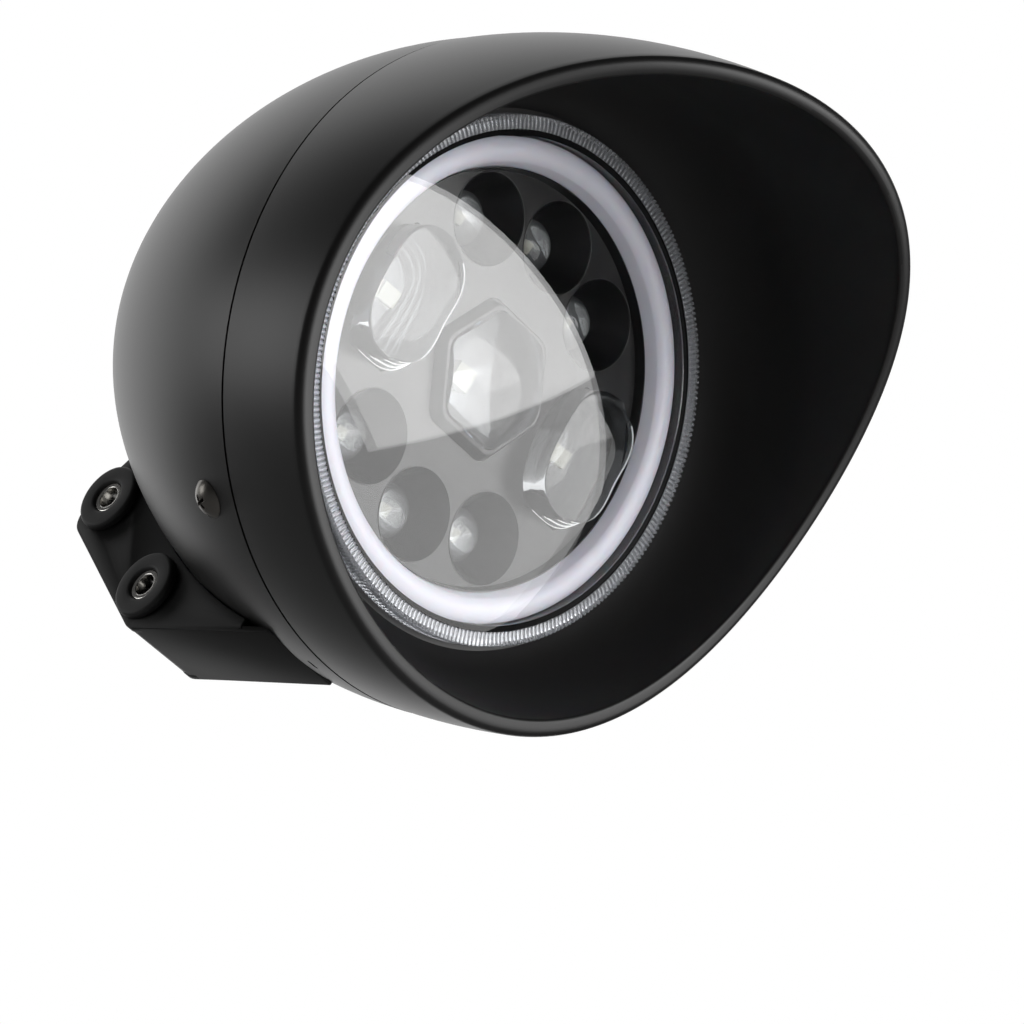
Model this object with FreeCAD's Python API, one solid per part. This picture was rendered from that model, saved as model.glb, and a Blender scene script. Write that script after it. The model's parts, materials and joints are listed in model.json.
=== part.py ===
import FreeCAD, Part
import math
import os

# Motorcycle headlight with a visor bezel, in millimetres.
# Modelling frame: the lamp shines along -Y, +Z is up, the origin is the centre of the seam
# between bucket and bezel. The finished pieces are moved so that the origin of the part is
# the axis of the front mounting bolt, half way between the two bracket ears.

V = FreeCAD.Vector
FULL_TURN = 360.0

# Fits
seat_gap = 0.2              # between curved faces that seat on each other
slip = 0.3                  # radial room round a piece that drops into another
screw_room = 0.2            # radial room round a screw shank

# Rear bucket
shell_radius = 93.9         # outside, at the seam
flank_radius = 164.5        # arc of the flank, seen from the side
flank_lead = 8.9            # centre of that arc ahead of the seam
tail_radius = 62.0          # ball of the tail, tangent to the flank
tail_tilt = 1.3             # degrees that the bucket's axis rises towards the tail
bucket_wall = 2.0
mouth_lead = 6.0            # length of the form ahead of the seam, trimmed off there

# Seam
seam_width = 0.8
seam_recess = 0.7           # seal set back from the outside of the shell

# Front bezel and visor
visor_radius = 236.0        # arc of the bezel and visor, seen from the side
visor_crest = 23.5          # widest place of that arc ahead of the seam
bezel_wall = 2.5
liner_wall = 2.2
hollow_depth = 25.0         # hollow between skin and funnel, from the seam
rim_wall = 4.7              # visor thickness between outside and funnel
rim_edge = 1.6              # flat that eases the rim's outer edge
rim_mid = 40.0              # rim ahead of the seam at the lamp's axis
rim_half = 90.0             # height over which lean, sweep and hook are given
rim_lean = 26.3
rim_sweep = 27.2
rim_hook = 7.0
rim_points = 9              # points that the rim's curve is drawn through
rim_cut_spread = 1.3        # half height of the form that cuts the rim, over the shell's radius
funnel_blend = 38.0         # ahead of the seam, where the funnel starts to follow the outside
spigot_length = 14.0
spigot_wall = 2.2
web_wall = 2.6

# Lamp: radii
lens_radius = 71.5          # ribbed flange of the outer lens
flange_width = 2.8
lens_wall = 2.3
collar_width = 5.5
ledge_width = 2.4           # flat step between the lens opening and the funnel
lens_room = 0.6
halo_width = 6.5            # front face of the light guide
halo_taper = 1.9

# Lamp: lengths along the axis
lens_ahead = 6.5            # flange face ahead of the seam
lens_proud = 2.0            # flange face ahead of the bezel's ledge
ledge_wall = 2.0
seat_gasket_wall = 2.0
collar_wall = 3.0
shoulder_height = 2.8
dome_rise = 10.0
halo_depth = 8.1
halo_recess = 0.4
mask_recess = 7.6           # behind the halo's face
mask_wall = 2.0
well_depth = 10.9
small_flange = 1.2
emitter_gap = 0.3
emitter_height = 1.0
board_wall = 1.6
halo_board_wall = 1.2
halo_led_height = 0.8

# Small lenses
small_count = 3             # in the upper group, and again in the lower one
small_pitch = 44.0
small_spread = 36.0         # degrees between neighbours
well_mouth = 13.0
small_lens_radius = 7.5
small_lens_rise = 4.6
well_wall = 1.2

# Large lenses
large_offset = 40.0
large_half_width = 15.0
large_half_height = 19.5
large_side_radius = 27.0
large_step = 1.3
large_steps = 3
large_ahead = 8.0           # front face ahead of the seam

# Centre lens
hex_inradius = 17.0
hex_round = 5.0
hex_frame_base = 3.3
hex_frame_top = 1.5
hex_frame_height = 3.5
centre_sphere = 34.0
centre_ahead = 8.0

# Light sources
emitter_small = 2.4
emitter_large = 5.0
halo_led_count = 24
halo_led_size = 1.6

# Heat sink and driver
sink_flange = 4.0
sink_base = 4.0
sink_side_wall = 8.0
sink_draft = 4.0
fin_count = 24
fin_wall = 2.2
fin_reach = 25.0            # fin length along the axis at the hub
fin_heel = 9.0              # and at the rim
hub_radius = 26.0
hub_length = 31.5
hub_wall = 5.0
driver_ledge = 3.0
driver_set = 9.5            # driver board behind the sink's base
cap_wall = 3.0
gland_neck = 5.0
gland_flange = 3.0
gland_lip = 2.5
gland_bore = 3.0
cap_screw = 1.4
cap_screw_head = 2.6
cap_screw_head_height = 1.8
cap_screw_length = 8.0
cap_screw_count = 3

# Lens gasket and retaining ring
lens_gasket_width = 3.0
lens_gasket_depth = 1.5
retainer_sheet = 1.5
boss_radius = 4.5
boss_room = 0.5
boss_count = 3
boss_start = 30.0           # degrees
retainer_screw = 2.0
retainer_screw_head = 3.8
retainer_screw_head_height = 2.5
retainer_screw_bite = 9.0
retainer_screw_spare = 2.0

# Bezel screws
side_screw_depth = 10.9
side_screw_angle = 54.3     # degrees below the horizontal
side_screw = 2.5
side_screw_head = 5.4
side_screw_head_height = 2.7
side_screw_length = 12.0
clip_width = 14.0
clip_sheet = 1.5
clip_room = 0.5
clip_barrel = 4.2
clip_barrel_height = 4.0

# Bracket
bracket_sheet = 3.0
ear_face = 14.2             # outside of an ear from the middle plane
saddle_front = 2.4
saddle_back = 56.0
ear_start = 24.0
front_foot = 64.6           # depth on the bucket from which the front axis stands off
rear_foot = 98.8
mount_standoff = 11.2
ear_drop = 13.1             # ear edge below the front axis
ear_heel = 9.6              # ear edge below the rear axis
ear_tail = 10.7             # ear edge behind the rear axis
ear_round = 6.0
drain_length = 4.0
drain_width = 1.4
drain_depth = 6.4
bracket_bolt = 2.9
bracket_bolt_head = 5.4
bracket_bolt_head_height = 2.6
bracket_bolt_spare = 2.5
bracket_nut = 5.0
bracket_nut_height = 4.0
bracket_nut_sides = 6
bracket_bolt_depths = (19.0, 43.0)

# Grommets and sleeves
grommet_radius = 10.3
grommet_lip = 2.6
grommet_edge = 0.6
grommet_neck = 7.0
sleeve_radius = 4.8
sleeve_bore = 3.25
sleeve_proud = 0.4
rubber_fit = 0.05

# Cable inlet in the bucket
inlet_depth = 83.0
inlet_neck = 6.0
inlet_lip = 3.0
inlet_lip_height = 2.4
inlet_bore = 4.0
inlet_room = 0.8

# Places along the axis, worked out from the lengths above
flange_face = -lens_ahead
ledge_front = flange_face + lens_proud
ledge_back = ledge_front + ledge_wall
collar_front = ledge_back + seat_gasket_wall
collar_back = collar_front + collar_wall
sink_flange_back = collar_back + sink_flange
retainer_back = sink_flange_back + retainer_sheet
halo_front = flange_face + halo_recess
halo_back = halo_front + halo_depth
mask_front = halo_front + mask_recess
well_floor = mask_front + well_depth
lens_back = well_floor + small_flange
emitter_front = lens_back + emitter_gap
board_front = emitter_front + emitter_height
board_back = board_front + board_wall
sink_back = board_back + sink_base
hub_back = sink_back + hub_length
cap_back = hub_back + cap_wall
halo_board_front = halo_back + halo_led_height + slip
halo_board_back = halo_board_front + halo_board_wall

# Radii, worked out in the same way
lens_inner = lens_radius - flange_width - lens_wall
collar_radius = lens_radius + collar_width
opening_radius = lens_radius + lens_room
funnel_start = opening_radius + ledge_width
halo_outer = lens_inner - slip
halo_inner = halo_outer - halo_width
halo_root = halo_inner - halo_taper
mask_radius = halo_root - slip
boss_pitch = collar_radius + boss_room + boss_radius


def arc_radius(centre, radius, run):
    """Distance from the axis of an arc whose centre lies beyond the axis."""
    return centre + math.sqrt(radius ** 2 - run ** 2)


flank_centre = shell_radius - math.sqrt(flank_radius ** 2 - flank_lead ** 2)
visor_centre = shell_radius - math.sqrt(visor_radius ** 2 - visor_crest ** 2)


def bucket_radius(depth, offset=0.0):
    """Radius of the bucket, or of a skin parallel to it, at a depth behind the seam."""
    return arc_radius(flank_centre, flank_radius + offset, depth + flank_lead)


def bezel_radius(ahead, inset=0.0):
    return arc_radius(visor_centre, visor_radius - inset, ahead - visor_crest)


def rim_ahead(height):
    share = height / rim_half
    return rim_mid + rim_lean * share + rim_sweep * share ** 2 + rim_hook * share ** 3


def steps(first, last, count):
    return [first + (last - first) * i / (count - 1) for i in range(count)]


def disc(radius, front, back, x=0.0, z=0.0):
    return Part.makeCylinder(radius, back - front, V(x, front, z), V(0, 1, 0))


def ring(outer, inner, front, back):
    return disc(outer, front, back).cut(disc(inner, front, back))


def turned(points):
    """Solid of revolution about Y from (radius, y) corners; the outline closes by itself."""
    corners = [V(r, y, 0) for r, y in points]
    face = Part.Face(Part.makePolygon(corners + corners[:1]))
    return face.revolve(V(0, 0, 0), V(0, 1, 0), FULL_TURN)


def arc(centre, start, end):
    """Arc about a centre between two points, the short way round."""
    radius = (start - centre).Length
    middle = ((start - centre) + (end - centre)).normalize() * radius
    return Part.Arc(start, centre + middle, end).toShape()


def spun(edges, corners):
    """Solid of revolution about Y from joined edges, closed through further corners."""
    chain = [edges[-1].Vertexes[-1].Point] + corners + [edges[0].Vertexes[0].Point]
    lines = [Part.LineSegment(a, b).toShape() for a, b in zip(chain, chain[1:])]
    face = Part.Face(Part.Wire(edges + lines))
    return face.revolve(V(0, 0, 0), V(0, 1, 0), FULL_TURN)


def tilted(shape):
    return shape.rotated(V(0, 0, 0), V(1, 0, 0), tail_tilt)


def egg(offset):
    """The bucket's closed form, grown outwards by an offset: a flank arc and a ball for a tail."""
    centre = V(flank_centre, -flank_lead, 0)
    ball = V(0, math.sqrt((flank_radius - tail_radius) ** 2 - flank_centre ** 2) - flank_lead, 0)
    start = V(bucket_radius(-mouth_lead, offset), -mouth_lead, 0)
    join = centre + (ball - centre).normalize() * (flank_radius + offset)
    tip = V(0, ball.y + tail_radius + offset, 0)
    return tilted(spun([arc(centre, start, join), arc(ball, join, tip)], [V(0, -mouth_lead, 0)]))


def skin_frame(depth, angle):
    """Point on the bucket's outside, and the direction out of it."""
    turn = math.radians(angle)
    across = V(math.cos(turn), 0, math.sin(turn))
    radius = bucket_radius(depth)
    out = across * (radius - flank_centre) + V(0, depth + flank_lead, 0)
    tilt = FreeCAD.Rotation(V(1, 0, 0), tail_tilt)
    return tilt.multVec(across * radius + V(0, depth, 0)), tilt.multVec(out).normalize()


def stand(shape, point, out):
    """Moves a shape modelled on +Z so that it stands at a point along a direction."""
    copy = shape.copy()
    copy.Placement = FreeCAD.Placement(point, FreeCAD.Rotation(V(0, 0, 1), out))
    return copy


def rounded(corners):
    """Closed wire in the XZ plane from (x, z, radius) corners."""
    edges = []
    count = len(corners)
    ends = []
    for i, (x, z, radius) in enumerate(corners):
        here = V(x, 0, z)
        before = (V(corners[i - 1][0], 0, corners[i - 1][1]) - here).normalize()
        after = (V(corners[(i + 1) % count][0], 0, corners[(i + 1) % count][1]) - here).normalize()
        half = math.acos(max(-1.0, min(1.0, before.dot(after)))) / 2
        reach = radius / math.tan(half)
        middle = (before + after).normalize() * (radius / math.sin(half) - radius)
        ends.append((here + before * reach, here + middle, here + after * reach, radius))
    for i, (start, middle, stop, radius) in enumerate(ends):
        if radius > 0:
            edges.append(Part.Arc(start, middle, stop).toShape())
        edges.append(Part.LineSegment(stop, ends[(i + 1) % count][0]).toShape())
    return Part.Wire(edges)


def hexagon(inradius, y):
    """Hexagon with flat top and bottom and rounded corners."""
    corner = inradius / math.cos(math.radians(30))
    points = []
    for i in range(6):
        turn = math.radians(60 * i)
        points.append((corner * math.cos(turn), corner * math.sin(turn), hex_round))
    wire = rounded(points)
    wire.translate(V(0, y, 0))
    return wire


def prism(wire, length):
    return Part.Face(wire).extrude(V(0, length, 0))


def barrel(inset, y, side):
    """Outline of a large lens: flat top and bottom, two bowed sides."""
    width = large_half_width - inset
    height = large_half_height - inset
    radius = large_side_radius
    corner = width - radius + math.sqrt(radius ** 2 - height ** 2)
    right = Part.Arc(V(corner, 0, -height), V(width, 0, 0), V(corner, 0, height)).toShape()
    top = Part.LineSegment(V(corner, 0, height), V(-corner, 0, height)).toShape()
    left = Part.Arc(V(-corner, 0, height), V(-width, 0, 0), V(-corner, 0, -height)).toShape()
    bottom = Part.LineSegment(V(-corner, 0, -height), V(corner, 0, -height)).toShape()
    wire = Part.Wire([right, top, left, bottom])
    wire.translate(V(side * large_offset, y, 0))
    return wire


def small_places():
    """Centres of the small lenses: an arc of them above the axis and one below."""
    places = []
    for group in (1, -1):
        for i in range(small_count):
            turn = math.radians(90 - (i - (small_count - 1) / 2) * small_spread)
            places.append((small_pitch * math.cos(turn), group * small_pitch * math.sin(turn)))
    return places


def boss_places():
    turns = [math.radians(boss_start + FULL_TURN * i / boss_count) for i in range(boss_count)]
    return [(boss_pitch * math.cos(turn), boss_pitch * math.sin(turn)) for turn in turns]


def side_screw_frames():
    return [skin_frame(side_screw_depth, angle) for angle in (-side_screw_angle, side_screw_angle - 180.0)]


def bracket_bolt_frames():
    return [skin_frame(depth, -90.0) for depth in bracket_bolt_depths]


def mount_axis(foot):
    point, out = skin_frame(foot, -90.0)
    return point + out * mount_standoff


front_axis = mount_axis(front_foot)
rear_axis = mount_axis(rear_foot)


def rear_bucket():
    body = egg(0.0).cut(egg(-bucket_wall))
    body = body.cut(disc(2 * shell_radius, -2 * mouth_lead, seam_width / 2))
    hole = Part.makeCylinder(side_screw + screw_room, 4 * bucket_wall, V(0, 0, -2 * bucket_wall))
    for point, out in side_screw_frames():
        body = body.cut(stand(hole, point, out))
    hole = Part.makeCylinder(bracket_bolt + screw_room, 4 * bucket_wall, V(0, 0, -2 * bucket_wall))
    for point, out in bracket_bolt_frames():
        body = body.cut(stand(hole, point, out))
    hole = Part.makeCylinder(inlet_neck + rubber_fit, 4 * bucket_wall, V(0, 0, -2 * bucket_wall))
    point, out = skin_frame(inlet_depth, -90.0)
    return body.cut(stand(hole, point, out))


def spigot_radius():
    lean = shell_radius * math.sin(math.radians(tail_tilt))
    return bucket_radius(spigot_length + lean, -bucket_wall) - slip


def throat():
    """Centre and radius of the funnel's first arc, from the lens to where it follows the visor."""
    visor = V(visor_centre, -visor_crest, 0)
    blend = V(bezel_radius(funnel_blend, rim_wall), -funnel_blend, 0)
    start = V(funnel_start, ledge_front, 0)
    inward = (visor - blend).normalize()
    chord = start - blend
    radius = chord.dot(chord) / (2 * chord.dot(inward))
    return blend + inward * radius, radius


def funnel(end):
    """The visor's inside: opens from the lens and then follows the outside of the bezel."""
    visor = V(visor_centre, -visor_crest, 0)
    blend = V(bezel_radius(funnel_blend, rim_wall), -funnel_blend, 0)
    start = V(funnel_start, ledge_front, 0)
    mouth = V(bezel_radius(end, rim_wall), -end, 0)
    edges = [arc(throat()[0], start, blend), arc(visor, blend, mouth)]
    return spun(edges, [V(0, -end, 0), V(0, ledge_front, 0)])


def bezel_hollow():
    """Room between the bezel's skin and its funnel, open towards the bucket."""
    visor = V(visor_centre, -visor_crest, 0)
    centre, radius = throat()
    radius += liner_wall
    back = V(bezel_radius(-seam_width, bezel_wall), seam_width, 0)
    front = V(bezel_radius(hollow_depth, bezel_wall), -hollow_depth, 0)
    liner = V(arc_radius(centre.x, radius, -hollow_depth - centre.y), -hollow_depth, 0)
    seat = collar_radius + boss_room / 2
    foot = V(seat, centre.y + math.sqrt(radius ** 2 - (seat - centre.x) ** 2), 0)
    edges = [arc(visor, back, front), Part.LineSegment(front, liner).toShape(), arc(centre, liner, foot)]
    return spun(edges, [V(seat, ledge_back, 0), V(0, ledge_back, 0), V(0, seam_width, 0)])


def rim_cutter():
    """Everything ahead of the visor's rim."""
    reach = rim_cut_spread * shell_radius
    heights = steps(-reach, reach, rim_points)
    points = [V(0, -rim_ahead(height), height) for height in heights]
    curve = Part.BSplineCurve()
    curve.interpolate(points)
    far = -2 * rim_ahead(reach)
    top = V(0, far, reach)
    bottom = V(0, far, -reach)
    lines = [
        Part.LineSegment(points[-1], top).toShape(),
        Part.LineSegment(top, bottom).toShape(),
        Part.LineSegment(bottom, points[0]).toShape(),
    ]
    face = Part.Face(Part.Wire([curve.toShape()] + lines))
    face.translate(V(-reach, 0, 0))
    return face.extrude(V(2 * reach, 0, 0))


def front_bezel():
    end = rim_ahead(shell_radius)
    visor = V(visor_centre, -visor_crest, 0)
    back = V(bezel_radius(seam_width / 2), -seam_width / 2, 0)
    front = V(bezel_radius(end), -end, 0)
    body = spun([arc(visor, back, front)], [V(0, -end, 0), V(0, -seam_width / 2, 0)])
    body = body.cut(bezel_hollow())
    boss_front = boss_radius - hollow_depth
    body = body.fuse([disc(boss_radius, boss_front, sink_flange_back, x, z) for x, z in boss_places()])
    body = body.cut(funnel(end + rim_wall))
    body = body.cut(disc(opening_radius, flange_face, collar_front))
    body = eased_rim(body.cut(rim_cutter()))
    spigot = ring(spigot_radius(), spigot_radius() - spigot_wall, -web_wall, spigot_length)
    web = ring(shell_radius - bezel_wall / 2, spigot_radius() - spigot_wall, -web_wall, -seam_width / 2)
    body = body.fuse([spigot, web])
    hole = Part.makeCylinder(side_screw + screw_room, side_screw_length, V(0, 0, -side_screw_length))
    for point, out in side_screw_frames():
        body = body.cut(stand(hole, point, out))
    for x, z in boss_places():
        bite = sink_flange_back - retainer_screw_bite - retainer_screw_spare
        body = body.cut(disc(retainer_screw + screw_room / 2, bite, sink_flange_back, x, z))
    return body.removeSplitter()


def eased_rim(body):
    """Takes the sharp corner off the rim's outer edge."""
    found = []
    for edge in body.Edges:
        middle = edge.valueAt((edge.FirstParameter + edge.LastParameter) / 2)
        behind = rim_ahead(middle.z) + middle.y
        depth = bezel_radius(-middle.y) - math.hypot(middle.x, middle.z)
        if max(abs(behind), abs(depth)) < rim_edge / 2 and edge.Length > shell_radius:
            found.append(edge)
    return body.makeChamfer(rim_edge, found)


def seam_seal():
    return ring(shell_radius - seam_recess, spigot_radius() + slip, -seam_width / 2, seam_width / 2)


def side_screws():
    head = Part.makeCylinder(side_screw_head, side_screw_head_height)
    ball_radius = (side_screw_head ** 2 + side_screw_head_height ** 2) / (2 * side_screw_head_height)
    crown = Part.makeSphere(ball_radius, V(0, 0, side_screw_head_height - ball_radius))
    shank = Part.makeCylinder(side_screw, side_screw_length, V(0, 0, -side_screw_length))
    screw = head.common(crown).fuse(shank).removeSplitter()
    screw.translate(V(0, 0, rubber_fit))
    return Part.makeCompound([stand(screw, point, out) for point, out in side_screw_frames()])


def clip_nuts():
    """Sheet-metal clips with a threaded barrel, against the inside of the bezel's spigot."""
    half = clip_width / 2
    inside = shell_radius - spigot_radius() + spigot_wall + clip_room
    plate = Part.makeBox(clip_width, clip_width, clip_sheet, V(-half, -half, -inside - clip_sheet))
    barrel_top = -inside - clip_sheet
    tube = Part.makeCylinder(clip_barrel, clip_barrel_height, V(0, 0, barrel_top - clip_barrel_height))
    nut = plate.fuse(tube)
    bore = Part.makeCylinder(side_screw + rubber_fit, 3 * side_screw_length, V(0, 0, -2 * side_screw_length))
    nut = nut.cut(bore).removeSplitter()
    return Part.makeCompound([stand(nut, point, out) for point, out in side_screw_frames()])


def mounting_bracket():
    inner = egg(seat_gap)
    band = egg(seat_gap + bracket_sheet).cut(inner)
    keep = Part.makeBox(2 * ear_face, saddle_back - saddle_front, 2 * shell_radius,
                        V(-ear_face, saddle_front, -2 * shell_radius))
    saddle = band.common(keep)
    start = skin_frame(ear_start, -90.0)[0]
    corners = [
        (start.y, start.z - bracket_sheet, 0.0),
        (front_axis.y, front_axis.z - ear_drop, ear_round),
        (rear_axis.y + ear_tail, rear_axis.z - ear_heel, ear_round),
        (rear_axis.y + ear_tail, rear_axis.z + ear_round / 4, ear_round),
        (rear_axis.y + bracket_sheet / 2, rear_axis.z + ear_tail + ear_round, 0.0),
        (rear_axis.y - ear_drop, rear_axis.z + 3 * ear_drop, 0.0),
        (start.y, start.z + 2 * ear_drop, 0.0),
    ]
    outline = rounded(corners)
    turn = FreeCAD.Placement(V(0, 0, 0), FreeCAD.Rotation(V(0, 0, 1), 90))
    outline.Placement = turn
    body = saddle
    for side in (1, -1):
        ear = Part.Face(outline).extrude(V(bracket_sheet, 0, 0))
        ear.translate(V(ear_face - bracket_sheet if side > 0 else -ear_face, 0, 0))
        ear = ear.cut(inner)
        for axis in (front_axis, rear_axis):
            ear = ear.cut(Part.makeCylinder(grommet_neck + rubber_fit, 2 * shell_radius,
                                            V(-shell_radius, axis.y, axis.z), V(1, 0, 0)))
        body = body.fuse(ear)
    hole = Part.makeCylinder(bracket_bolt + screw_room, 4 * bracket_sheet)
    for point, out in bracket_bolt_frames():
        body = body.cut(stand(hole, point, out))
    drain = Part.makeBox(drain_length, drain_width, 3 * bracket_sheet,
                         V(-drain_length / 2, -drain_width / 2, 0))
    point, out = skin_frame(drain_depth, -90.0)
    return body.cut(stand(drain, point, out)).removeSplitter()


def bracket_bolts():
    lift = seat_gap + bracket_sheet + rubber_fit
    head = Part.makeCylinder(bracket_bolt_head, bracket_bolt_head_height, V(0, 0, lift))
    head = head.makeChamfer(bracket_bolt_head_height / 3, [head.Edges[0]])
    length = lift + bucket_wall + bracket_nut_height + bracket_bolt_spare
    shank = Part.makeCylinder(bracket_bolt, length, V(0, 0, lift - length))
    bolt = head.fuse(shank).removeSplitter()
    return Part.makeCompound([stand(bolt, point, out) for point, out in bracket_bolt_frames()])


def bracket_nuts():
    corner = bracket_nut / math.cos(math.pi / bracket_nut_sides)
    turns = [math.radians(FULL_TURN / bracket_nut_sides * i) for i in range(bracket_nut_sides + 1)]
    points = [V(corner * math.cos(turn), corner * math.sin(turn), 0) for turn in turns]
    nut = Part.Face(Part.makePolygon(points)).extrude(V(0, 0, bracket_nut_height))
    under = bucket_wall + slip + bracket_nut_height
    nut.translate(V(0, 0, -under))
    nut = nut.cut(Part.makeCylinder(bracket_bolt + rubber_fit, 2 * under, V(0, 0, -2 * under)))
    return Part.makeCompound([stand(nut, point, out) for point, out in bracket_bolt_frames()])


def turned_across(points, axis, side):
    """Ring turned about a mounting axis, from (radius, distance from the ear's middle) corners."""
    corners = [V(x, 0, r) for r, x in points]
    body = Part.Face(Part.makePolygon(corners + corners[:1])).revolve(V(0, 0, 0), V(1, 0, 0), FULL_TURN)
    body.translate(V(side * (ear_face - bracket_sheet / 2), axis.y, axis.z))
    return body


def grommet(axis, side):
    half = bracket_sheet / 2
    end = half + grommet_lip
    bore = sleeve_radius + rubber_fit
    points = [
        (bore, -end), (grommet_radius - grommet_edge, -end), (grommet_radius, -end + grommet_edge),
        (grommet_radius, -half), (grommet_neck, -half), (grommet_neck, half), (grommet_radius, half),
        (grommet_radius, end - grommet_edge), (grommet_radius - grommet_edge, end), (bore, end),
    ]
    return turned_across(points, axis, side)


def sleeve(axis, side):
    end = bracket_sheet / 2 + grommet_lip + sleeve_proud
    points = [(sleeve_bore, -end), (sleeve_radius, -end), (sleeve_radius, end), (sleeve_bore, end)]
    return turned_across(points, axis, side)


def cable_grommet():
    low = -bucket_wall - inlet_room
    wide = inlet_neck + inlet_lip
    points = [
        (inlet_bore, low - inlet_lip_height), (wide, low - inlet_lip_height), (wide, low), (inlet_neck, low),
        (inlet_neck, rubber_fit), (wide, rubber_fit), (wide - inlet_lip_height / 2, inlet_lip_height),
        (inlet_bore, inlet_lip_height),
    ]
    corners = [V(r, 0, z) for r, z in points]
    body = Part.Face(Part.makePolygon(corners + corners[:1])).revolve(V(0, 0, 0), V(0, 0, 1), FULL_TURN)
    point, out = skin_frame(inlet_depth, -90.0)
    return stand(body, point, out)


def dome(radius, edge, rise):
    """Edge along a shallow dome, from its rim to its crown on the axis."""
    ball = (radius ** 2 + rise ** 2) / (2 * rise)
    half = math.asin(radius / ball) / 2
    middle = V(ball * math.sin(half), edge - rise + ball * (1 - math.cos(half)), 0)
    return Part.Arc(V(radius, edge, 0), middle, V(0, edge - rise, 0)).toShape()


def outer_lens():
    neck = lens_radius - flange_width
    shoulder = flange_face - shoulder_height
    inner_edge = shoulder + lens_wall
    corners = [
        V(lens_inner, inner_edge, 0), V(lens_inner, collar_back, 0), V(collar_radius, collar_back, 0),
        V(collar_radius, collar_front, 0), V(lens_radius, collar_front, 0), V(lens_radius, flange_face, 0),
        V(neck, flange_face, 0), V(neck, shoulder, 0),
    ]
    edges = [Part.LineSegment(a, b).toShape() for a, b in zip(corners, corners[1:])]
    outside = dome(neck, shoulder, dome_rise)
    inside = dome(lens_inner, inner_edge, dome_rise)
    crown = Part.LineSegment(V(0, shoulder - dome_rise, 0), V(0, inner_edge - dome_rise, 0)).toShape()
    wire = Part.Wire(Part.__sortEdges__(edges + [outside, crown, inside]))
    return Part.Face(wire).revolve(V(0, 0, 0), V(0, 1, 0), FULL_TURN)


def halo_ring():
    """Light guide: crowned face, straight outside, inside that draws in towards the mask."""
    crown = halo_width / 4
    left = V(halo_inner, halo_front + crown, 0)
    right = V(halo_outer, halo_front + crown, 0)
    top = Part.Arc(left, V((halo_inner + halo_outer) / 2, halo_front, 0), right).toShape()
    back_right = V(halo_outer, halo_back, 0)
    back_left = V(halo_root, halo_back, 0)
    sides = [(right, back_right), (back_right, back_left), (back_left, left)]
    lines = [Part.LineSegment(a, b).toShape() for a, b in sides]
    return Part.Face(Part.Wire([top] + lines)).revolve(V(0, 0, 0), V(0, 1, 0), FULL_TURN)


def funnel_cone(grow):
    mouth = well_mouth + grow
    floor = small_lens_radius + rubber_fit + grow
    return Part.makeCone(mouth, floor, well_depth, V(0, mask_front, 0), V(0, 1, 0))


def lamp_mask():
    disc_all = disc(mask_radius, mask_front, board_front)
    skirt = ring(mask_radius, mask_radius - mask_wall, mask_front, board_front)
    plate = disc(mask_radius, mask_front, mask_front + mask_wall)
    cones = [funnel_cone(well_wall).translated(V(x, 0, z)) for x, z in small_places()]
    body = plate.fuse([skirt] + cones).common(disc_all)
    for x, z in small_places():
        body = body.cut(funnel_cone(0.0).translated(V(x, 0, z)))
    for side in (1, -1):
        body = body.cut(prism(barrel(-slip, mask_front, side), mask_wall))
    body = body.cut(prism(hexagon(hex_inradius + slip, mask_front), mask_wall))
    return body.removeSplitter()


def centre_bezel():
    base = hexagon(hex_inradius + hex_frame_base, mask_front)
    top = hexagon(hex_inradius + hex_frame_top, mask_front - hex_frame_height)
    frame = Part.makeLoft([base, top], True, True)
    return frame.cut(prism(hexagon(hex_inradius + slip, mask_front - hex_frame_height), hex_frame_height))


def centre_lens():
    block = prism(hexagon(hex_inradius, -centre_ahead), centre_ahead + lens_back)
    return block.common(Part.makeSphere(centre_sphere, V(0, centre_sphere - centre_ahead, 0)))


def large_lens(side):
    rise = (mask_front + large_ahead) / large_steps
    body = prism(barrel(0.0, mask_front - rise, side), lens_back - mask_front + rise)
    for i in range(1, large_steps):
        front = mask_front - rise * (i + 1)
        body = body.fuse(prism(barrel(large_step * i, front, side), rise))
    return body.removeSplitter()


def small_lens(place):
    x, z = place
    radius = small_lens_radius
    ball = (radius ** 2 + small_lens_rise ** 2) / (2 * small_lens_rise)
    front = well_floor - small_lens_rise
    dome_part = Part.makeSphere(ball, V(0, front + ball, 0)).common(disc(radius, front, well_floor))
    body = dome_part.fuse(disc(radius + well_wall, well_floor, lens_back)).removeSplitter()
    return body.translated(V(x, 0, z))


def led_board():
    return disc(mask_radius, board_front, board_back)


def chip(size, x, z, front, height):
    return Part.makeBox(size, height, size, V(x - size / 2, front, z - size / 2))


def led_emitters():
    chips = [chip(emitter_small, x, z, emitter_front, emitter_height) for x, z in small_places()]
    for x in (-large_offset, 0.0, large_offset):
        chips.append(chip(emitter_large, x, 0.0, emitter_front, emitter_height))
    return Part.makeCompound(chips)


def halo_board():
    return ring(halo_outer, mask_radius + 2 * slip, halo_board_front, halo_board_back)


def halo_leds():
    radius = (halo_outer + halo_root) / 2
    front = halo_board_front - halo_led_height
    led = chip(halo_led_size, radius, 0.0, front, halo_led_height)
    turns = [FULL_TURN * i / halo_led_count for i in range(halo_led_count)]
    return Part.makeCompound([led.rotated(V(0, 0, 0), V(0, 1, 0), turn) for turn in turns])


def gasket_radius():
    return lens_radius + collar_width / 2


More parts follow.
